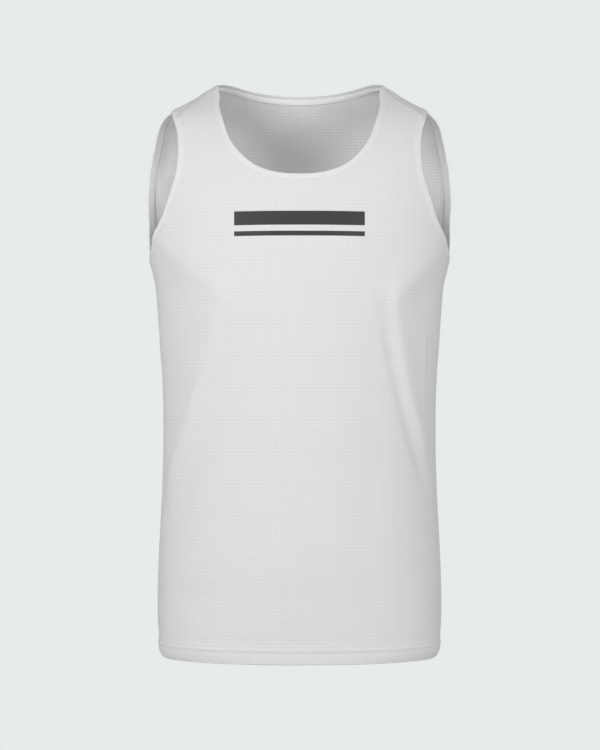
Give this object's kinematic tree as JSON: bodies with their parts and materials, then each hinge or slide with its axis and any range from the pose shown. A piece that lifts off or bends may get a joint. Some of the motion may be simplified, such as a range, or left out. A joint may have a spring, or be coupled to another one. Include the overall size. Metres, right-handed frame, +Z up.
{
  "type": "running singlet",
  "caption": "Sleeveless running singlet in its worn shape, hollow, with a bound scoop neck, bound armholes and a straight hem.",
  "frame": {"origin": "midway between the places where the two straps rest on the shoulders, beside the neck", "axes": "+Z up, -Y the way the front faces, +X to the wearer's left"},
  "size_m": [0.3708, 0.2379, 0.6855],
  "materials": {
    "jersey": "matte, fine grid-textured sports jersey",
    "binding": "matte, smooth stretch binding",
    "tape": "matte, smooth narrow tape"
  },
  "bodies": {
    "root": {"front_panel": "jersey", "back_panel": "jersey", "neck_binding": "binding", "armhole_binding_left": "binding", "armhole_binding_right": "binding", "neck_tape": "tape"}
  },
  "joints": []
}
